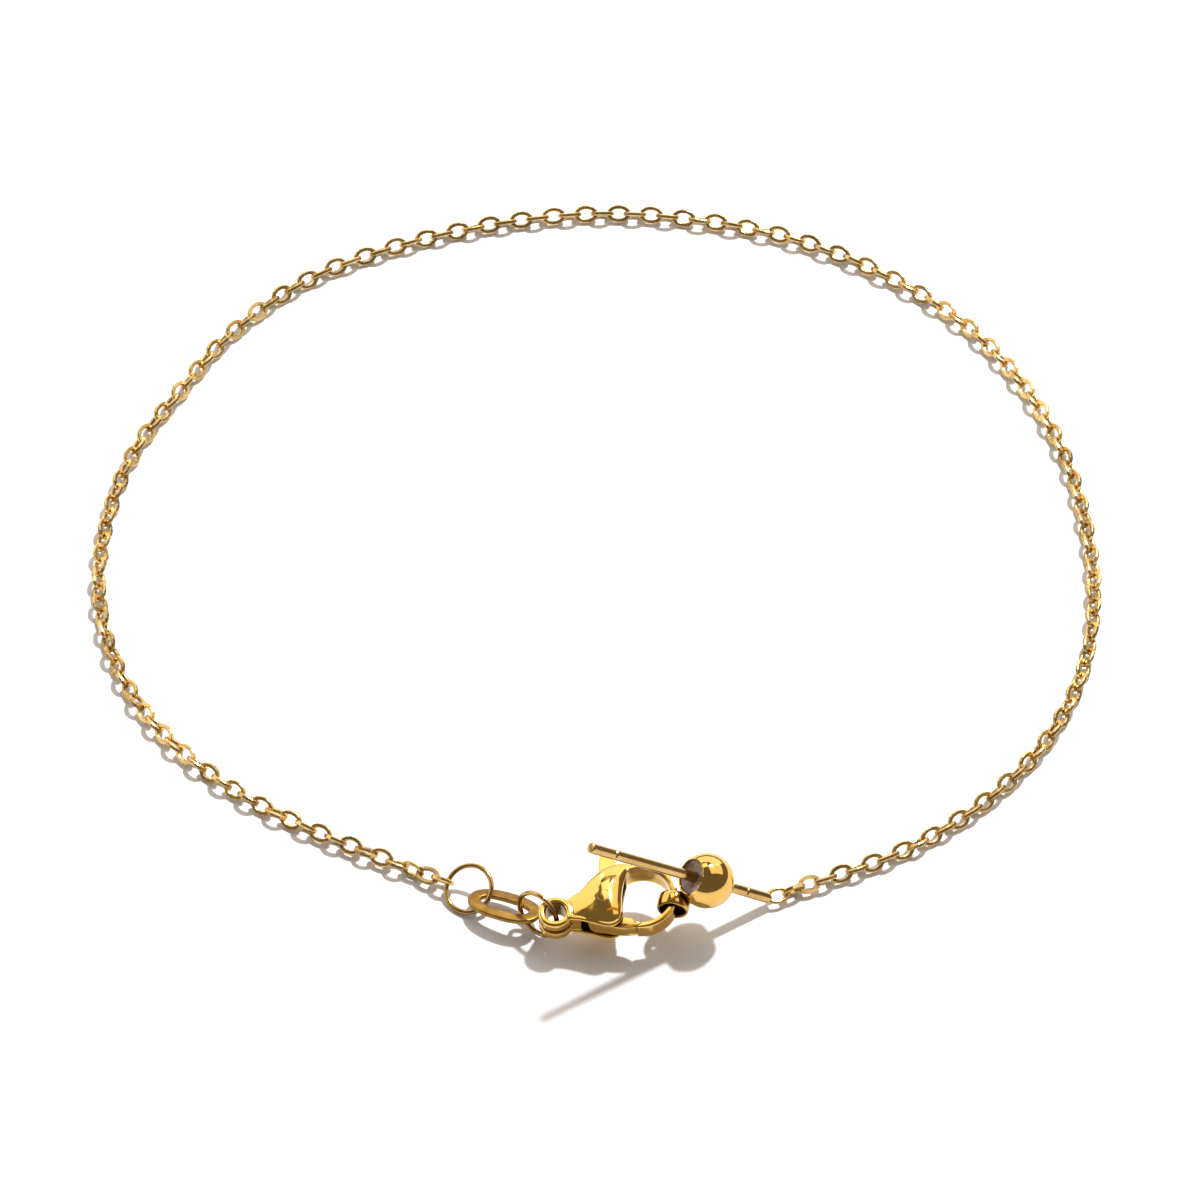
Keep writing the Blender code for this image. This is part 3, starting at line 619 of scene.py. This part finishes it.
# columns: place along the clasp, then side wall and crown as shares of the body's depth
bodyProfile = [
    (-2.25, 0.46, 0.52), (-1.8, 0.56, 0.72), (-1.3, 0.64, 0.96), (-0.9, 0.66, 1.00),
    (-0.55, 0.62, 0.90), (-0.15, 0.5, 0.6),
]
leverOutline = [
    (-0.4, -0.71), (-0.7, -0.54), (-0.8, -0.34), (-0.8, 0.05), (-0.72, 0.45), (-0.6, 0.8),
    (-0.54, 1.15), (-0.52, 1.48), (-0.58, 1.62), (-0.9, 1.69), (-0.99, 1.6), (-1.09, 1.15),
    (-1.15, 0.75), (-1.42, 0.36), (-1.62, 0.0), (-1.74, -0.28), (-1.75, -0.46), (-1.64, -0.6),
    (-1.38, -0.74), (-0.96, -0.9), (-0.6, -1.01),
]
slotOutline = [
    (-1.93, -1.45), (0.3, -1.45), (0.3, 0.63), (-0.47, 0.78), (-0.47, 1.85), (-1.6, 1.85),
    (-1.6, 0.65), (-1.93, 0.25),
]
rivetCentre = Vector(clasp["rivet"]) * clasp["hookRadius"]
seamReach = math.dist(onCircle(clasp["hookRadius"], clasp["seamAngle"]), rivetCentre)


def inClasp(outline):
    return [Vector(point) * clasp["hookRadius"] for point in outline]


def bodyDepthAt(x, column):
    table = [(row[0] * clasp["hookRadius"], row[column]) for row in bodyProfile]
    if x <= table[0][0]:
        return table[0][1] * clasp["bodyDepth"] / 2
    for k in range(len(table) - 1):
        if x <= table[k + 1][0]:
            # cubic through the table, with the slope at each row taken from its neighbours
            rows = [table[max(k - 1, 0)], table[k], table[k + 1], table[min(k + 2, len(table) - 1)]]
            span = rows[2][0] - rows[1][0]
            t = (x - rows[1][0]) / span
            leave = (rows[2][1] - rows[0][1]) / (rows[2][0] - rows[0][0]) * span
            arrive = (rows[3][1] - rows[1][1]) / (rows[3][0] - rows[1][0]) * span
            rise = rows[2][1] - rows[1][1]
            share = rows[1][1] + leave * t + (3 * rise - 2 * leave - arrive) * t * t
            share += (leave + arrive - 2 * rise) * t * t * t
            return share * clasp["bodyDepth"] / 2
    return table[-1][1] * clasp["bodyDepth"] / 2


def seamAngle(radius, reach):
    offset = rivetCentre.length
    bearing = math.atan2(rivetCentre.y, rivetCentre.x)
    cosine = (radius ** 2 + offset ** 2 - reach ** 2) / (2 * radius * offset)
    return math.degrees(bearing + math.acos(cosine)) - 360 * (bearing > 0)


def crownMesh():
    outline = smoothPath(inClasp(bodyOutline), 8, True)
    middle = Vector(clasp["bodyMiddle"]) * clasp["hookRadius"]
    shares = [1.0, 0.985, 0.96, 0.92, 0.86, 0.78, 0.68, 0.56, 0.42, 0.26, 0.1]
    rings = []
    for side, order in ((-1, reversed(shares)), (1, shares)):
        for share in order:
            ring = []
            for point in outline:
                place = middle.lerp(point, share)
                wall = bodyDepthAt(place.x, 1)
                crown = bodyDepthAt(place.x, 2)
                ring.append((place.x, place.y, side * (wall + (crown - wall) * math.sqrt(1 - share ** 2))))
            rings.append(ring)
    return skinMesh("crown", rings)


def hookMesh():
    half = clasp["hookWall"] / 2
    corner = clasp["hookCorner"]
    section = []  # rounded rectangle: (radial offset, side, inset)
    for radial, side in ((1, 1), (1, -1), (-1, -1), (-1, 1)):
        angles = [k * 22.5 for k in range(5)]
        if radial * side < 0:
            angles.reverse()
        for angle in angles:
            u, v = onCircle(corner, angle)
            section.append((radial * (half - corner + v), side, corner - u))
    rings = []
    steps = 96
    for step in range(steps + 1):
        share = step / steps
        depth = (clasp["tipDepth"] + (clasp["rootDepth"] - clasp["tipDepth"]) * share ** 1.5) / 2
        ring = []
        for offset, side, inset in section:
            radius = clasp["hookRadius"] + offset
            start = seamAngle(radius, seamReach)
            x, y = onCircle(radius, start + (clasp["rootAngle"] - start) * share)
            ring.append((x, y, side * (depth - inset)))
        rings.append(ring)
    return skinMesh("hook", rings)


def eyeMesh():
    outer = clasp["eyeDiameter"] / 2
    inner = clasp["eyeHole"] / 2
    half = clasp["eyeDepth"] / 2
    soft = (outer - inner) * 0.3
    groove = clasp["eyeGroove"] / 2
    deep = outer - clasp["eyeGroove"]
    profile = [
        (inner + soft, half), (outer - soft, half), (outer - soft * 0.3, half - soft * 0.3),
        (outer, half - soft), (outer, groove + soft * 0.4), (outer - soft * 0.5, groove),
        (deep, groove * 0.7), (deep, -groove * 0.7), (outer - soft * 0.5, -groove),
        (outer, -groove - soft * 0.4), (outer, soft - half), (outer - soft * 0.3, soft * 0.3 - half),
        (outer - soft, -half), (inner + soft, -half), (inner + soft * 0.3, soft * 0.3 - half),
        (inner, soft - half), (inner, half - soft), (inner + soft * 0.3, half - soft * 0.3),
    ]
    return turnedMesh("eye", profile, 96)


def lipMesh(side):
    # rounded rim along the body's lower edge, just over the lever
    edge = smoothPath(inClasp(bodyOutline), 8, True)
    first, last = clasp["lipSpan"]
    thick = clasp["lip"]
    level = clasp["leverDepth"] / 2 + clasp["slotGap"] + thick / 2
    points = [(point.x, point.y, side * level) for point in edge[first * 8:last * 8 + 1]]
    return wireMesh("lip", points, thick, False)


def rivetBlank(gap):
    # round rod through the rivet's place, this much wider than the rivet all round
    radius = clasp["rivetDiameter"] / 2 + gap
    reach = clasp["bodyDepth"]
    rod = turnedMesh("rod", [(0.0, reach), (radius, reach), (radius, -reach), (0.0, -reach)], 64)
    rod.transform(Matrix.Translation(rivetCentre.to_3d()))
    return rod


def makeClaspBody():
    slot = plateMesh("slot", [inClasp(slotOutline)], clasp["leverDepth"] + 2 * clasp["slotGap"], 0.0)
    eye = eyeMesh()
    eye.transform(Matrix.Translation((Vector(clasp["eyeCentre"]) * clasp["hookRadius"]).to_3d()))
    rough = combined("clasp blank", crownMesh(), [
        (lipMesh(1), "UNION"), (lipMesh(-1), "UNION"), (slot, "DIFFERENCE"),
        (hookMesh(), "UNION"), (eye, "UNION"),
    ])
    cast = castSurface(rough, clasp["voxel"], clasp["softening"])
    mesh = combined("clasp shell", cast, [(rivetBlank(clasp["rivetGap"]), "DIFFERENCE")])
    return finishedPiece("claspShell", mesh, claspPlace, claspFinish, "clasp_body")


def makeLever():
    reach = seamReach - clasp["leverTipGap"]
    wall = clasp["hookWall"]
    inner = seamAngle(clasp["hookRadius"] - wall / 2, reach)
    outer = seamAngle(clasp["hookRadius"] + wall / 2, reach)
    tip = [
        Vector(onCircle(clasp["hookRadius"] + wall * (0.5 - share), outer + (inner - outer) * share))
        for share in (0.12, 0.5, 0.88)
    ]
    outline = smoothPath(inClasp(leverOutline), 6, False) + tip
    hole = clasp["rivetDiameter"] / 2 + ball["snugGap"]
    bearing = [rivetCentre + Vector(onCircle(hole, 7.5 * k)) for k in range(48)]
    mesh = plateMesh("lever", [outline, bearing], clasp["leverDepth"], clasp["leverEdge"])
    return finishedPiece(
        "thumbLever", mesh, claspPlace, claspFinish, "clasp_lever", "lever", sharp=30,
    )


def makeRivet():
    # its ends are ground and polished flush with the body
    mesh = combined("rivet", rivetBlank(0.0), [(crownMesh(), "INTERSECT")])
    finishedPiece("rivetRod", mesh, claspPlace, claspFinish, "lever_rivet", sharp=40)


claspShell = makeClaspBody()
thumbLever = makeLever()
makeRivet()
# painted shade: clasp, lever and ball get darker wherever their own metal closes in around them
markPaintedShade([claspShell, thumbLever, boredBall], clasp["recessReach"], clasp["recessRays"])


# Jump rings and slotted tag

ring = {
    "diameter": 3.2, "wire": 0.28, "drawnWire": 0.31, "seam": 0.05,
    "claspAzimuth": -39.8, "claspElevation": 0.0, "claspRoll": 80.9, "eyeAngle": 10.0, "tagAngle": 207.0,
    "inEye": (0.0, -0.33), "claspSeam": 300.0,
    "endAzimuth": -41.0, "endElevation": -1.0, "endRoll": 31.0, "linkAngle": 195.0, "endSeam": 88.0,
}
tag = {
    "length": 4.7, "width": 2.6, "border": 0.76, "thickness": 0.32, "edge": 0.1,
    "outerOval": 2.3, "slotOval": 2.6,  # powers: 2 is an ellipse, more is squarer
    "azimuth": -25.0, "elevation": 5.0, "roll": -13.0, "claspRingIn": 0.5, "endRingIn": 0.4,
}
ringRadius = (ring["diameter"] - ring["wire"]) / 2
claspRingTurn = placeAt((0, 0, 0), ring["claspAzimuth"], ring["claspElevation"], ring["claspRoll"])
inEye = pointIn(claspPlace, *(Vector(clasp["eyeCentre"]) * clasp["hookRadius"] + Vector(ring["inEye"])))
claspRingPlace = Matrix.Translation(inEye - pointIn(claspRingTurn, *onCircle(ringRadius, ring["eyeAngle"])))
claspRingPlace @= claspRingTurn
tagTurn = placeAt((0, 0, 0), tag["azimuth"], tag["elevation"], tag["roll"])
slotHalf = tag["length"] / 2 - tag["border"]
ringAtTag = pointIn(claspRingPlace, *onCircle(ringRadius, ring["tagAngle"]))
tagPlace = Matrix.Translation(ringAtTag - pointIn(tagTurn, slotHalf - tag["claspRingIn"], 0.0)) @ tagTurn
endRingTurn = placeAt((0, 0, 0), ring["endAzimuth"], ring["endElevation"], ring["endRoll"])
slotLeft = pointIn(tagPlace, tag["endRingIn"] - slotHalf, 0.0)
endRingPlace = Matrix.Translation(slotLeft - pointIn(endRingTurn, ringRadius, 0.0)) @ endRingTurn


def makeRing(name, place, seam, node):
    halfGap = math.degrees(ring["seam"] / 2 / ringRadius)
    steps = 96
    points = []
    for k in range(steps + 1):
        x, y = onCircle(ringRadius, seam + halfGap + (360 - 2 * halfGap) * k / steps)
        points.append((x, y, 0.0))
    mesh = wireMesh(name, points, ring["drawnWire"], False)
    finishedPiece(name, mesh, place, wireFinish, node, sharp=50)


def makeTag():
    outside = ovalOutline(tag["length"] / 2, tag["width"] / 2, tag["outerOval"], 96)
    slot = ovalOutline(slotHalf, tag["width"] / 2 - tag["border"], tag["slotOval"], 72)
    mesh = plateMesh("tag", [outside, slot], tag["thickness"], tag["edge"])
    finishedPiece("slottedTag", mesh, tagPlace, tagFinish, "oval_tag", sharp=50)


makeRing("claspJumpRing", claspRingPlace, ring["claspSeam"], "clasp_ring")
makeRing("endJumpRing", endRingPlace, ring["endSeam"], "end_ring")
makeTag()


# Cable chain: every link instanced along the route by Geometry Nodes

chain = {
    "loopWidth": 62.2, "loopDepth": 61.6, "startHeight": 0.5, "centreHeight": 0.54, "bend": 16,
    "linkLength": 1.58, "linkWidth": 1.16, "linkWire": 0.26, "flat": 1.0, "edge": 0.2, "sides": 14,
    "lieTwist": 45.0, "looseTwist": 8.0, "looseTilt": 2.0, "settle": 3,
    "slackRun": 14, "slackGain": 2.5, "seed": 4,
}
chainRoute = [  # shares of half the loop's width and depth
    (0.598, -0.753), (0.762, -0.627), (0.891, -0.464), (0.971, -0.276), (1.0, -0.078),
    (0.99, 0.12), (0.952, 0.315), (0.878, 0.503), (0.765, 0.675), (0.614, 0.812), (0.424, 0.922),
    (0.219, 0.981), (0.006, 1.0), (-0.206, 0.971), (-0.412, 0.906), (-0.598, 0.808), (-0.746, 0.662),
    (-0.852, 0.49), (-0.942, 0.315), (-0.99, 0.12), (-0.997, -0.078), (-0.952, -0.273), (-0.855, -0.448),
    (-0.714, -0.591), (-0.55, -0.701),
]


def twistOf(place, along):
    # angle of a link's flat side about its own length, from level
    level = placeAlong((0, 0, 0), along, upAxis)
    normal = axisOf(place, 2)
    return math.degrees(math.atan2(-normal.dot(axisOf(level, 1)), normal.dot(axisOf(level, 2))))


def linkTree():
    tree = bpy.data.node_groups.new("cable links", "GeometryNodeTree")
    face = tree.interface
    names = (
        ("Path", "NodeSocketGeometry"), ("Link Length", "NodeSocketFloat"), ("Link Width", "NodeSocketFloat"),
        ("Wire", "NodeSocketFloat"), ("Flat", "NodeSocketFloat"), ("Edge", "NodeSocketFloat"),
        ("Sides", "NodeSocketInt"), ("Link Count", "NodeSocketInt"), ("Lie Twist", "NodeSocketFloat"),
        ("First Twist", "NodeSocketFloat"), ("Last Twist", "NodeSocketFloat"), ("Settle", "NodeSocketFloat"),
        ("Slack Run", "NodeSocketFloat"), ("Slack Gain", "NodeSocketFloat"), ("Loose Twist", "NodeSocketFloat"),
        ("Loose Tilt", "NodeSocketFloat"), ("Seed", "NodeSocketInt"), ("Material", "NodeSocketMaterial"),
    )
    for name, kind in names:
        face.new_socket(name, in_out="INPUT", socket_type=kind)
    face.new_socket("Links", in_out="OUTPUT", socket_type="NodeSocketGeometry")
    given = tree.nodes.new("NodeGroupInput").outputs
    link = tree.links.new

    def maths(operation, a, b=None):
        node = tree.nodes.new("ShaderNodeMath")
        node.operation = operation
        for socket, value in zip(node.inputs, (a, b)):
            if isinstance(value, bpy.types.NodeSocket):
                link(value, socket)
            elif value is not None:
                socket.default_value = value
        return node.outputs[0]

    def looseness(low, high, seedStep):
        node = tree.nodes.new("FunctionNodeRandomValue")
        node.data_type = "FLOAT"
        node.inputs[2].default_value = low
        node.inputs[3].default_value = high
        link(maths("ADD", given["Seed"], seedStep), node.inputs["Seed"])
        return node.outputs[1]

    toCurve = tree.nodes.new("GeometryNodeMeshToCurve")
    link(given["Path"], toCurve.inputs["Mesh"])
    points = tree.nodes.new("GeometryNodeCurveToPoints")
    points.mode = "COUNT"
    link(toCurve.outputs["Curve"], points.inputs["Curve"])
    link(given["Link Count"], points.inputs["Count"])

    # one link: an oval wire with flat facets
    oval = tree.nodes.new("GeometryNodeCurvePrimitiveCircle")
    link(given["Sides"], oval.inputs["Resolution"])
    oval.inputs["Radius"].default_value = 1.0
    stretch = tree.nodes.new("ShaderNodeCombineXYZ")
    link(maths("DIVIDE", maths("SUBTRACT", given["Link Length"], given["Wire"]), 2.0), stretch.inputs["X"])
    link(maths("DIVIDE", maths("SUBTRACT", given["Link Width"], given["Wire"]), 2.0), stretch.inputs["Y"])
    stretch.inputs["Z"].default_value = 1.0
    shaped = tree.nodes.new("GeometryNodeTransform")
    link(oval.outputs["Curve"], shaped.inputs["Geometry"])
    link(stretch.outputs["Vector"], shaped.inputs["Scale"])
    wire = tree.nodes.new("GeometryNodeCurvePrimitiveQuadrilateral")
    link(given["Wire"], wire.inputs["Width"])
    link(maths("MULTIPLY", given["Wire"], given["Flat"]), wire.inputs["Height"])
    eased = tree.nodes.new("GeometryNodeFilletCurve")
    eased.mode = "POLY"
    eased.inputs["Count"].default_value = 1
    link(wire.outputs["Curve"], eased.inputs["Curve"])
    link(maths("MULTIPLY", given["Wire"], given["Edge"]), eased.inputs["Radius"])
    sweep = tree.nodes.new("GeometryNodeCurveToMesh")
    link(shaped.outputs["Geometry"], sweep.inputs["Curve"])
    link(eased.outputs["Curve"], sweep.inputs["Profile Curve"])
    facetted = tree.nodes.new("GeometryNodeSetShadeSmooth")
    facetted.inputs["Shade Smooth"].default_value = False
    link(sweep.outputs["Mesh"], facetted.inputs["Geometry"])

    # twist: alternate links are square to each other, and the ends settle into their neighbours
    index = tree.nodes.new("GeometryNodeInputIndex").outputs["Index"]
    lastIndex = maths("SUBTRACT", given["Link Count"], 1.0)
    fromFirst = maths("SUBTRACT", 1.0, maths("MINIMUM", maths("DIVIDE", index, given["Settle"]), 1.0))
    toLast = maths("DIVIDE", maths("SUBTRACT", lastIndex, index), given["Settle"])
    fromLast = maths("SUBTRACT", 1.0, maths("MINIMUM", toLast, 1.0))
    first = maths("MULTIPLY", fromFirst, maths("SUBTRACT", given["First Twist"], given["Lie Twist"]))
    last = maths("MULTIPLY", fromLast, maths("SUBTRACT", given["Last Twist"], given["Lie Twist"]))
    free = maths("SUBTRACT", 1.0, maths("MAXIMUM", fromFirst, fromLast))
    slackRun = maths("DIVIDE", maths("SUBTRACT", lastIndex, index), given["Slack Run"])
    # the chain lies less evenly near its last link
    slacker = maths("SUBTRACT", 1.0, maths("MINIMUM", slackRun, 1.0))
    free = maths("MULTIPLY", free, maths("ADD", 1.0, maths("MULTIPLY", slacker, given["Slack Gain"])))
    loose = maths("MULTIPLY", maths("MULTIPLY", looseness(-1.0, 1.0, 0.0), given["Loose Twist"]), free)
    crosswise = maths("MULTIPLY", maths("MODULO", index, 2.0), 90.0)
    settled = maths("ADD", maths("ADD", given["Lie Twist"], crosswise), maths("ADD", first, last))
    twist = maths("ADD", settled, loose)
    tilt = maths("MULTIPLY", maths("MULTIPLY", looseness(-1.0, 1.0, 7.0), given["Loose Tilt"]), free)

    face3 = tree.nodes.new("FunctionNodeAxesToRotation")
    face3.primary_axis = "X"
    face3.secondary_axis = "Z"
    link(points.outputs["Tangent"], face3.inputs["Primary Axis"])
    face3.inputs["Secondary Axis"].default_value = (0.0, 0.0, 1.0)

    def turned(rotation, axis, degrees):
        about = tree.nodes.new("FunctionNodeAxisAngleToRotation")
        about.inputs["Axis"].default_value = axis
        link(maths("RADIANS", degrees), about.inputs["Angle"])
        node = tree.nodes.new("FunctionNodeRotateRotation")
        node.rotation_space = "LOCAL"
        link(rotation, node.inputs["Rotation"])
        link(about.outputs["Rotation"], node.inputs["Rotate By"])
        return node.outputs["Rotation"]

    rotation = turned(face3.outputs["Rotation"], (1.0, 0.0, 0.0), twist)
    rotation = turned(rotation, (0.0, 0.0, 1.0), tilt)
    placed = tree.nodes.new("GeometryNodeInstanceOnPoints")
    link(points.outputs["Points"], placed.inputs["Points"])
    link(facetted.outputs["Geometry"], placed.inputs["Instance"])
    link(rotation, placed.inputs["Rotation"])
    toned = tree.nodes.new("GeometryNodeStoreNamedAttribute")
    toned.data_type = "FLOAT"
    toned.domain = "INSTANCE"
    toned.inputs["Name"].default_value = "linkTone"
    link(placed.outputs["Instances"], toned.inputs["Geometry"])
    link(looseness(0.0, 1.0, 13.0), toned.inputs["Value"])
    real = tree.nodes.new("GeometryNodeRealizeInstances")
    link(toned.outputs["Geometry"], real.inputs["Geometry"])
    gilded = tree.nodes.new("GeometryNodeSetMaterial")
    link(real.outputs["Geometry"], gilded.inputs["Geometry"])
    link(given["Material"], gilded.inputs["Material"])
    result = tree.nodes.new("NodeGroupOutput")
    link(gilded.outputs["Geometry"], result.inputs["Links"])
    return tree


def makeChain():
    pitch = link["length"] - 2 * link["wire"] - link["slack"]
    # the chain's own last link hangs in the end ring
    reach = link["length"] / 2 - link["wire"] - link["slack"] - ring["wire"] / 2
    outward = endRingTurn.to_3x3() @ Vector((*onCircle(1.0, ring["linkAngle"]), 0.0))
    lastMiddle = pointIn(endRingPlace, *onCircle(ringRadius, ring["linkAngle"])) + outward * reach
    lastPlace = placeAlong(lastMiddle, -outward, outward.cross(axisOf(endRingPlace, 2)))
    # its first link goes through the pin's loop
    halfWidth, halfDepth = chain["loopWidth"] / 2, chain["loopDepth"] / 2
    route = [Vector((x * halfWidth, y * halfDepth, chain["startHeight"])) for x, y in chainRoute]
    run = (route[0] - loopMiddle).normalized()
    firstMiddle = loopMiddle + run * pitch
    firstPlace = placeAlong(firstMiddle, run, run.cross(axisOf(loopPlace, 2)))

    firstAfter = firstMiddle + run * pitch
    lastBefore = lastMiddle + outward * pitch
    middle = [Vector((point.x, point.y, chain["centreHeight"])) for point in route]
    path = smoothPath([firstMiddle, firstAfter] + middle + [lastBefore, lastMiddle], chain["bend"], False)
    length = sum((after - before).length for before, after in zip(path, path[1:]))
    count = round(length / pitch) + 1

    line = bpy.data.meshes.new("chain route")
    line.from_pydata([point[:] for point in path], [(k, k + 1) for k in range(len(path) - 1)], [])
    host = linkObject("chain route", line)
    tree = linkTree()
    nodes = host.modifiers.new("links", "NODES")
    nodes.node_group = tree
    lastTwist = twistOf(lastPlace, -outward) - 90.0 * ((count - 1) % 2)
    firstTwist = twistOf(firstPlace, run)
    # links lie to either side of upright in turn, starting on the side nearer the first link's own twist
    aside = (firstTwist - chain["lieTwist"] + 90.0) % 180.0 - 90.0
    lieTwist = chain["lieTwist"] - (90.0 if abs(aside) > 45.0 else 0.0)
    nearest = lambda angle: lieTwist + (angle - lieTwist + 90.0) % 180.0 - 90.0
    values = {
        "Link Length": chain["linkLength"], "Link Width": chain["linkWidth"], "Wire": chain["linkWire"],
        "Flat": chain["flat"], "Edge": chain["edge"], "Sides": chain["sides"], "Link Count": count,
        "Lie Twist": lieTwist, "Slack Run": float(chain["slackRun"]), "Slack Gain": chain["slackGain"],
        "First Twist": nearest(firstTwist), "Last Twist": nearest(lastTwist), "Settle": float(chain["settle"]),
        "Loose Twist": chain["looseTwist"], "Loose Tilt": chain["looseTilt"], "Seed": chain["seed"],
        "Material": chainFinish,
    }
    for item in tree.interface.items_tree:
        if item.item_type == "SOCKET" and item.in_out == "INPUT" and item.name in values:
            nodes[item.identifier] = values[item.name]
    mesh = bakedMesh(host)
    print(f"chain: {count} links over {length:.1f} mm, end twists {firstTwist:.0f} and {lastTwist:.0f}")
    piece = finishedPiece("cableLinks", mesh, Matrix(), chainFinish, "chain")
    piece.data.shade_flat()


makeChain()
print("all pieces made")
